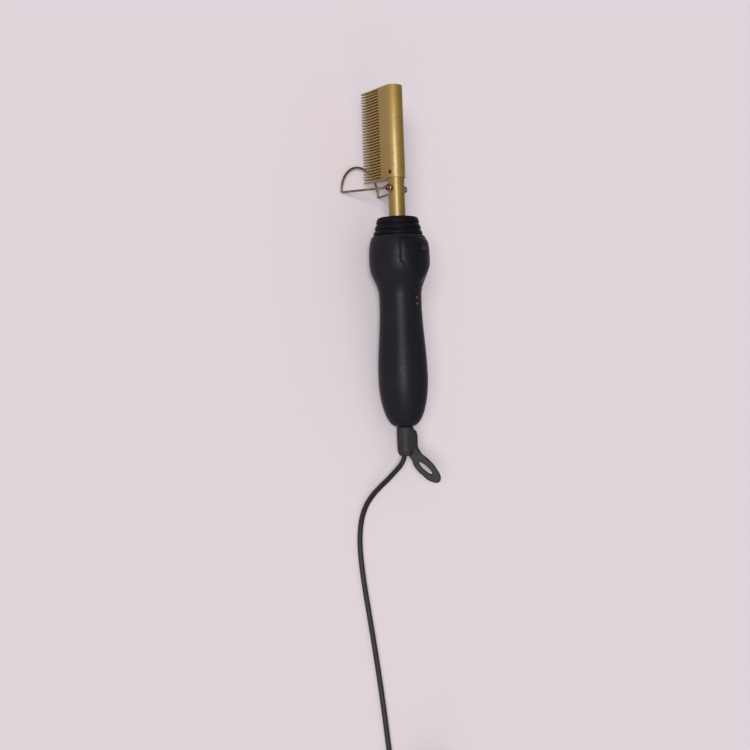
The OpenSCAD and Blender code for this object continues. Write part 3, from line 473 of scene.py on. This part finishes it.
head = piece("head_cast", joined(plate_shape(), barrel_shape()), gold_head, "comb_body",
             ("comb_head",), crease=40)
ease_rims(head, 0.18)
socket = [(HEAD_TO - SOCKET_DEPTH, 0), (HEAD_TO - SOCKET_DEPTH, SOCKET_R), (HEAD_TO - 0.25, SOCKET_R),
          (HEAD_TO + 1, BARREL_R), (HEAD_TO + 1, 0)]
screw_hole = [(5.2, 0), (5.2, SCREW_HOLE_R), (7.0, SCREW_HOLE_R), (7.3, SCREW_RIM_R),
              (9.2, SCREW_RIM_R), (9.2, 0)]
cut(head, turned(socket, 72), about_y(turned(screw_hole, 40), SCREW_X, -1), crease=40)

# The walls of the gaps between the teeth get a painted shade tone: their own gold, paler than the head's, set
# for how the shade between the teeth looks
to_comb = REST.inverted()
head.data.materials.append(gap_shade_gold)
for face in head.data.polygons:
    centre = to_comb @ face.center
    across = (to_comb.to_3x3() @ face.normal).normalized().y
    between_ends = HEAD_FROM + 0.2 < centre.x < HEAD_TO - 0.2
    if between_ends and abs(across) < 0.3 and TIP_Z + 1.2 < centre.z < ROOT_Z + 0.3:
        face.material_index = 1

# Set screw with a hexagon socket
screw_profile = [(5.8, 0), (5.8, SCREW_R), (6.75, SCREW_R), (6.9, SCREW_R - 0.15), (6.9, 0)]
screw = piece("set_screw_hex", about_y(turned(screw_profile, 40), SCREW_X, -1), dark_steel, "comb_body",
              ("head_set_screw",))
hexagon = turned([(6.1, 0), (6.1, HEXAGON_R), (7.5, HEXAGON_R), (7.5, 0)], 6)
cut(screw, about_y(hexagon, SCREW_X, -1), crease=30)

# Stem tube, its end eased
stem_profile = [(STEM_FROM, STEM_INNER_R), (STEM_FROM, STEM_R), (STEM_TO - 0.3, STEM_R),
                (STEM_TO, STEM_R - 0.25), (STEM_TO, STEM_INNER_R), (STEM_FROM, STEM_INNER_R)]
piece("stem_skin", turned(stem_profile, 128), gold_stem, "comb_body", ("stem_tube",))


# Stand: wire with an eye round each rivet
def wire_half(side):
    """From the middle of the foot to the end of the eye on one side."""
    half = []
    for degrees in range(0, 85, 6):
        x, y = on_circle(HALF_W, degrees)
        half.append((-x, side * y, -LEG))
    half += [(-0.75, side * (HALF_W - 0.07), -LEG + 0.1), (-0.15, side * (HALF_W - 0.2), -LEG + 0.75)]
    lean = (HALF_W - EYE_Y) / (LEG - EYE_R)
    half += [(0, side * (HALF_W - 0.1 - lean * h), -LEG + h) for h in (2.2, 6, 12, 18, 24, 29)]
    half += [(-0.15, side * (EYE_Y + 0.55), -5.0), (-0.9, side * (EYE_Y + 0.1), -3.0)]
    for degrees in range(52, 330, 18):
        z, x = on_circle(EYE_R, degrees)
        half.append((-x, side * EYE_Y, -z))
    return half


wire_path = smooth_path(wire_half(-1)[::-1] + wire_half(1)[1:], 4)
piece("stand_bail", tube(wire_path, WIRE_R, 18), wire_metal, "stand", ("stand_wire",))

# Rivets: collar, journal and a pointed head with an eased rim
rivet_profile = [(5.9, 0), (5.9, PIN_R), (6.37, PIN_R), (6.37, 1.85), (6.45, COLLAR_R), (8.1, COLLAR_R),
                 (8.2, 1.88), (8.22, PIN_R), (10.42, PIN_R), (10.42, 2.1), (10.5, RIVET_R - 0.05),
                 (10.66, RIVET_R), (10.82, RIVET_R - 0.06), (11.1, 1.95), (12.85, 0.25), (12.92, 0)]
for side, name in ((-1, "stand_rivet_near"), (1, "stand_rivet_far")):
    rivet_shape = about_y(turned(rivet_profile, 48), 0, side)
    rivet_piece = piece(name, rivet_shape, rivet_brown, "comb_body", crease=28)
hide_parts("stand_rivets")


# Handle
def ease(u):
    """From 0 to 1 with a soft start and a soft end."""
    return (1 - math.cos(math.pi * u)) / 2


def handle_r(x):
    """The handle's radius at a station along the comb's axis."""
    if x < BULGE_AT:
        u = (BULGE_AT - x) / (BULGE_AT - NOSE_TO)
        return FLARE_R + (BULGE_R - FLARE_R) * math.sqrt(max(0, 1 - u ** 2))
    if x < WAIST_AT:
        return BULGE_R + (WAIST_R - BULGE_R) * ease(ease((x - BULGE_AT) / (WAIST_AT - BULGE_AT)))
    if x < BELLY_AT:
        return WAIST_R + (BELLY_R - WAIST_R) * ease((x - WAIST_AT) / (BELLY_AT - WAIST_AT))
    u = (x - BELLY_AT) / (TAIL_AT - BELLY_AT)
    return TAIL_R + (BELLY_R - TAIL_R) * math.sqrt(max(0, 1 - u ** 2))


# Shells: two half-turned skins with a fine groove where they meet. The stations of their outside lie
# closer together where the radius changes fast.
front = NOSE_TO + RING_GAP
stations = [front, front + 0.15, front + 0.3]
stations += [front + 0.3 + (BULGE_AT - front) * (1 - math.cos(math.radians(a))) for a in range(6, 88, 3)]
stations += [BULGE_AT + i for i in range(math.ceil(BELLY_AT - BULGE_AT))]
stations += [BELLY_AT + (TAIL_AT - BELLY_AT) * math.sin(math.radians(a)) for a in range(2, 91, 2)]
outer = [(x, handle_r(x) - max(0, 0.3 - (x - front)) * 1.2) for x in stations]
inner = [(x, handle_r(x) - WALL) for x in reversed(stations) if 43 < x < 176]
tail = [(TAIL_AT, TAIL_R - 0.3), (TAIL_AT, TAIL_BORE_R), (TAIL_WALL_X, TAIL_BORE_R), (TAIL_WALL_X, 10)]
shell_profile = [(front, MOUTH_R)] + outer + tail + inner + [(MOUTH_X, MOUTH_R), (front, MOUTH_R)]


def shell(name, start, node):
    """One half of the handle; behind its front, the edges of its outside step back for the groove."""
    steps = 120
    verts, faces = turned(shell_profile, steps, start, 180)
    count = steps + 1
    rows = len(shell_profile) - 1
    for edge in (0, steps):
        for i in range(4, len(outer)):
            x, y, z = verts[i * count + edge]
            verts[i * count + edge] = (x, y * (1 - SEAM_STEP / abs(y)), z)
        faces.append(tuple(i * count + edge for i in range(rows)))
    return piece(name, (verts, faces), black_shell, "comb_body", (node,), crease=40)


upper = shell("upper_skin", -90, "upper_shell")
lower = shell("lower_skin", 90, "lower_shell")


# Screw wells in the lower shell, each in a post that reaches past the seat of its screw
def post(x, y, seat):
    """A closed post that starts 1 mm under the handle's surface."""
    sides = 48
    verts = []
    for r, at_skin in ((0.02, True), (2.0, True), (POST_R, True), (POST_R, False), (0.02, False)):
        for k in range(sides):
            dx, dy = on_circle(r, 360 * k / sides)
            skin_z = 1.0 - math.sqrt(handle_r(x + dx) ** 2 - (y + dy) ** 2)
            verts.append((x + dx, y + dy, skin_z if at_skin else seat + 1.5))
    return verts, quads(5, sides) + caps(5, sides)


def well(x, y, seat):
    """What is cut from a post, from below up to the seat."""
    return about_z(turned([(-30, 0), (-30, WELL_R), (seat, WELL_R), (seat, 0)], 48), x, y)


cut(lower, *[post(*screw_at) for screw_at in SHELL_SCREWS], operation="UNION", crease=40)
cut(lower, *[well(*screw_at) for screw_at in SHELL_SCREWS], crease=40)


# Nose: three rings with soft shoulders and deep grooves between them
def nose_r(x):
    return NOSE_R + (FLARE_R - NOSE_R) * (x - NOSE_FROM) / (NOSE_TO - NOSE_FROM)


RING_EDGES = [NOSE_FROM - RING_GAP, NOSE_FROM + 5.004, NOSE_FROM + 9.591, NOSE_TO]
FRONT_SHOULDER = [(0, -0.95), (0.08, -0.55), (0.25, -0.26), (0.55, -0.08), (1.0, 0.06)]
REAR_SHOULDER = [(-1.0, 0.1), (-0.55, 0.0), (-0.25, -0.16), (-0.08, -0.4), (0, -0.75)]
GROOVE = [(0.15, -0.95), (0.45, -1.0), (0.78, -0.95)]
nose = [(NOSE_FROM, NOSE_BORE_R), (NOSE_FROM, 13.6)]
for edge, next_edge in zip(RING_EDGES, RING_EDGES[1:]):
    ring_from, ring_to = edge + RING_GAP, next_edge - RING_GAP
    crown = (ring_from + ring_to) / 2
    nose += [(ring_from + dx, nose_r(ring_from + dx) + dr) for dx, dr in FRONT_SHOULDER]
    nose += [(crown, nose_r(crown) + 0.16)]
    nose += [(ring_to + dx, nose_r(ring_to + dx) + dr) for dx, dr in REAR_SHOULDER]
    nose += [(ring_to + dx, nose_r(ring_to) + dr) for dx, dr in GROOVE]
nose += [(NOSE_TO + 0.4, NOSE_LAND_R), (NOSE_TO + 5, NOSE_LAND_R), (NOSE_TO + 5, NOSE_INNER_R),
         (NOSE_WALL_X, NOSE_INNER_R), (NOSE_WALL_X, NOSE_BORE_R), (NOSE_FROM, NOSE_BORE_R)]
piece("nose_rings", turned(nose, 144), black_nose, "comb_body", ("handle_nose",), crease=55)

# Control panel: a raised shield on the spine with a slanted rim; its blunt point aims at the button.
# Its outline is laid out on the handle's surface as (x, arc), with the arc measured at UNROLL_R.
RIM_POINTS = 240


def shield_outline():
    """Straight sides, then tapering ones to the point, on both sides of the spine."""
    half = handle_r(CORNER_X) * math.sin(PANEL_ANGLE)
    side = [(PANEL_FROM + (CORNER_X - PANEL_FROM) * k / 16, UNROLL_R * PANEL_ANGLE) for k in range(17)]
    for k in range(1, 15):
        x, y = CORNER_X + (POINT_X - CORNER_X) * k / 14, half + (POINT_HALF - half) * k / 14
        side.append((x, UNROLL_R * math.asin(y / handle_r(x))))
    return side + [(x, -arc) for x, arc in reversed(side)]


def between(here, there, share):
    """The point at a share of the way from here to there."""
    return tuple(a + (b - a) * share for a, b in zip(here, there))


def resampled(loop):
    """The same closed outline with evenly spaced points."""
    ends = loop[1:] + loop[:1]
    lengths = [math.dist(here, there) for here, there in zip(loop, ends)]
    total = sum(lengths)
    made, index, passed = [], 0, 0.0
    for k in range(RIM_POINTS):
        wanted = total * k / RIM_POINTS
        while passed + lengths[index] < wanted:
            passed += lengths[index]
            index += 1
        made.append(between(loop[index], ends[index], (wanted - passed) / max(lengths[index], 1e-9)))
    return made


def relaxed(loop):
    """The outline with its corners rounded a little."""
    neighbours = zip(loop[-1:] + loop[:-1], loop, loop[1:] + loop[:1])
    return [tuple((a + 2 * b + c) / 4 for a, b, c in zip(*points)) for points in neighbours]


def grown(loop, by):
    """The outline moved outwards."""
    moved = []
    for before, here, after in zip(loop[-1:] + loop[:-1], loop, loop[1:] + loop[:1]):
        along_x, along_arc = after[0] - before[0], after[1] - before[1]
        length = math.hypot(along_x, along_arc)
        moved.append((here[0] - by * along_arc / length, here[1] + by * along_x / length))
    return moved


def shrunk(loop, share):
    """The outline drawn in towards the middle of the panel."""
    return [(PANEL_MIDDLE + (x - PANEL_MIDDLE) * share, arc * share) for x, arc in loop]


def skin(rings):
    """A skin over rings of the panel, each an outline and its rise over the handle's surface."""
    verts = []
    for loop, rise in rings:
        for x, arc in loop:
            r, angle = handle_r(x) + rise, arc / UNROLL_R
            verts.append((x, r * math.sin(angle), r * math.cos(angle)))
    return verts, quads(len(rings), RIM_POINTS) + caps(len(rings), RIM_POINTS)[1:]


def panel_shape():
    """One skin up the slant of the rim and in to the middle on top, and one along the underside."""
    shield = resampled(shield_outline())
    for _ in range(10):
        shield = relaxed(shield)
    shield = resampled(shield)
    # How far each ring lies outside the outline, and its rise over the handle's surface
    levels = ((0.25, -PANEL_SINK), (0.02, -0.5), (0.0, 0.02), (-0.08, 0.08), (-2.6, 0.82), (-3.0, 0.89),
              (-3.5, PANEL_RISE))
    slant = [(grown(shield, by), rise) for by, rise in levels]
    top = [(shrunk(slant[-1][0], share), PANEL_RISE)
           for share in (0.9, 0.8, 0.7, 0.6, 0.5, 0.4, 0.3, 0.2, 0.1, 0.02)]
    under = [(shrunk(shield, share), -PANEL_SINK) for share in (0.75, 0.5, 0.25, 0.02)]
    return joined(skin(slant + top), skin(slant[:1] + under))


panel = piece("panel_shield", panel_shape(), black_panel, "comb_body", ("control_panel",),
              crease=30)
dial_z = handle_r(DIAL_X) + PANEL_RISE + DIAL_RISE - DIAL_R
pocket_half, pocket_r = DIAL_HALF + DIAL_GAP, DIAL_R + DIAL_GAP
pocket_profile = [(-pocket_half, 0), (-pocket_half, pocket_r), (pocket_half, pocket_r), (pocket_half, 0)]
pocket_verts, pocket_faces = turned(pocket_profile)
pocket = [(DIAL_X + x, y, z + dial_z) for x, y, z in pocket_verts], pocket_faces
hole_r = BUTTON_R + BUTTON_GAP
button_hole = about_z(turned([(8, 0), (8, hole_r), (26, hole_r), (26, 0)], 64), BUTTON_X)
cut(panel, pocket, crease=30)
cut(upper, pocket, button_hole, crease=40)

# Dial: a wheel with grip grooves round its rim
DIAL_STEPS, GRIPS, GRIP_FROM_R, GRIP_DEPTH = 320, 40, 8.2, 0.05
rim = [(DIAL_HALF, 7.6), (2.35, 8.3), (2.2, 8.7), (1.9, 8.95), (1.6, DIAL_R)]
dial_profile = ([(-DIAL_HALF, DIAL_BORE_R)] + [(-x, r) for x, r in rim] + rim[::-1]
                + [(DIAL_HALF, DIAL_BORE_R), (-DIAL_HALF, DIAL_BORE_R)])
dial_verts, dial_faces = turned(dial_profile, DIAL_STEPS)
for index, (x, y, z) in enumerate(dial_verts):
    groove = max(0, math.cos(2 * math.pi * GRIPS * (index % DIAL_STEPS) / DIAL_STEPS)) ** 2
    scale = 1 - (GRIP_DEPTH * groove if math.hypot(y, z) > GRIP_FROM_R else 0)
    dial_verts[index] = (DIAL_X + x, y * scale, z * scale + dial_z)
piece("dial_wheel", (dial_verts, dial_faces), black_dial, "dial", ("temperature_dial",),
      crease=50)


# Power button: a round cap whose top follows the handle and dips in the middle
def button_shape():
    """Rings of the cap as (radius, rise over the handle's surface), from the middle outwards and down."""
    rings = [(0.02, 0.55), (0.7, 0.57), (1.3, 0.64), (1.8, 0.76), (2.2, 0.87), (2.5, 0.9), (2.7, 0.84),
             (2.82, 0.7), (2.88, 0.5), (BUTTON_R, 0.2), (BUTTON_R, -3.0)]
    steps = 56
    verts = []
    for r, rise in rings:
        for k in range(steps):
            dx, y = on_circle(r, 360 * k / steps)
            verts.append((BUTTON_X + dx, y, math.sqrt(handle_r(BUTTON_X + dx) ** 2 - y * y) + rise))
    return verts, quads(len(rings), steps) + caps(len(rings), steps)


piece("button_cap", button_shape(), black_button, "button", ("power_button",), crease=45)


# Boot with its hang loop, moulded in one; the loop's plane is turned with the boot in its swivel
def in_boot(x, height, across=0.0):
    """From the loop's plane, or a distance across it, to the comb's frame."""
    return (x, height * math.sin(BOOT_TURN) + across * math.cos(BOOT_TURN),
            height * math.cos(BOOT_TURN) - across * math.sin(BOOT_TURN))


boot = [(BOOT_FROM, 0), (BOOT_FROM, 5.5), (BOOT_FROM + 0.1, 6.0), (BOOT_FROM + 0.4, 6.3), (185, BOOT_R),
        (198, BOOT_R), (201, 6.3), (203.2, 5.7), (204.6, 4.8), (BOOT_TO, 3.4), (BOOT_TO, 0)]
shoulder_path = ((186.3, 4.6), (187.6, 5.4), (190.5, 5.6), (197.5, 5.5), (199.5, 5.4))
shoulder_tube = tube([in_boot(x, h) for x, h in shoulder_path], (2.6, 3.4, 3.75, 3.75, 3.5), 20)
shoulder = hulled(turned(boot[4:7], 48), shoulder_tube)
bridge = tube([in_boot(x, h) for x, h in ((197.5, 5.6), (201.5, 7.4), (205.5, 10.6))], (3.3, 2.9, 2.2), 20)

# The loop is a flat leaf with a narrow slot; its outline goes round in the loop's plane
LEAF_POINTS = [(199.5, 2.2), (200.6, 9.0), (203.7, 12.0), (207.2, 16.2), (211.2, 20.0), (215.8, 23.2),
               (220.4, 25.6), (224.4, 25.6), (226.2, 23.0), (225.4, 19.2), (223.4, 15.2), (219.9, 11.5),
               (216.6, 8.2), (213.0, 5.7), (208.6, 4.2), (204.6, 1.9)]


def smooth_loop(points, steps):
    """A closed smooth outline through points of a plane."""
    around = [(x, h, 0) for x, h in points[-1:] + points + points[:2]]
    return [(point.x, point.y) for point in smooth_path(around, steps)[steps:steps * (len(points) + 1)]]


def slot_point(x, height):
    """The point of the slot's rim that faces a point of the leaf's rim."""
    angle = math.atan2(height - SLOT_MID[1], x - SLOT_MID[0]) - LOOP_ANGLE
    along, aside = SLOT_LONG * math.cos(angle), SLOT_WIDE * math.sin(angle)
    return (SLOT_MID[0] + along * math.cos(LOOP_ANGLE) - aside * math.sin(LOOP_ANGLE),
            SLOT_MID[1] + along * math.sin(LOOP_ANGLE) + aside * math.cos(LOOP_ANGLE))


def leaf_shape():
    """Layers across the leaf, each with its outer rim and the rim of the slot."""
    rim = smooth_loop(LEAF_POINTS, 6)
    hole = [slot_point(*point) for point in rim]
    count = len(rim)
    # The place of each layer across the leaf, and how far its rims ease towards each other
    layers = ((-LOOP_HALF_T, 0.12), (-LOOP_FLAT_HALF, 0.02), (LOOP_FLAT_HALF, 0.02), (LOOP_HALF_T, 0.12))
    verts, faces = [], []
    for across, share in layers:
        verts += [in_boot(*between(outside, inside, share), across) for outside, inside in zip(rim, hole)]
        verts += [in_boot(*between(inside, outside, share), across) for outside, inside in zip(rim, hole)]
    top = 2 * count * (len(layers) - 1)
    for base in range(0, top, 2 * count):
        above = base + 2 * count
        for k in range(count):
            after = (k + 1) % count
            faces += [(base + k, base + after, above + after, above + k),
                      (base + count + k, above + count + k, above + count + after, base + count + after)]
    for k in range(count):
        after = (k + 1) % count
        faces += [(k, count + k, count + after, after),
                  (top + after, top + count + after, top + count + k, top + k)]
    return verts, faces


fused("hang_loop_skin", [turned(boot), shoulder, bridge, leaf_shape()], voxel=0.28, rounds=10,
      finish=boot_rubber, body="cord_set", replaced=("hang_loop_boot",))

# The plug and the tie keep their shapes from the CAD, with eased edges
for name, width in (("plug_body", 0.5), ("plug_blades", 0.2), ("coil_tie", 0.5)):
    edges = nodes[name].modifiers.new("edges", "BEVEL")
    edges.width = width * 0.001
    edges.segments = 3
    edges.limit_method = "ANGLE"
    edges.angle_limit = math.radians(35)

# Floor: pale and plain
FLOOR_HALF = 60
floor_mat = bpy.data.materials.new("floor")
floor_mat.use_nodes = True
floor_shader = floor_mat.node_tree.nodes["Principled BSDF"]
floor_shader.inputs["Base Color"].default_value = (0.765, 0.69, 0.73, 1)
floor_shader.inputs["Roughness"].default_value = 0.85
floor_mesh = bpy.data.meshes.new("floor")
floor_mesh.from_pydata([(-FLOOR_HALF, -FLOOR_HALF, 0), (FLOOR_HALF, -FLOOR_HALF, 0),
                        (FLOOR_HALF, FLOOR_HALF, 0), (-FLOOR_HALF, FLOOR_HALF, 0)], [], [(0, 1, 2, 3)])
floor_mesh.materials.append(floor_mat)
floor = bpy.data.objects.new("floor", floor_mesh)
scene.collection.objects.link(floor)

# Light: an even sky and two wide soft suns
world = bpy.data.worlds.new("studio")
scene.world = world
world.use_nodes = True
sky = world.node_tree.nodes["Background"]
sky.inputs["Color"].default_value = (0.9, 0.88, 0.9, 1)
sky.inputs["Strength"].default_value = 0.38


def sun(name, towards, strength, spread):
    """A wide soft light from one direction, even over the whole floor."""
    light = bpy.data.objects.new(name, bpy.data.lights.new(name, "SUN"))
    light.data.energy = strength
    light.data.angle = math.radians(spread)
    light.rotation_mode = "QUATERNION"
    light.rotation_quaternion = Vector(towards).to_track_quat("Z", "Y")
    scene.collection.objects.link(light)


sun("key", (0.16, -2.00, 1.60), 2.9, 24)
sun("tail", (1.4, -0.9, 0.8), 0.4, 50)
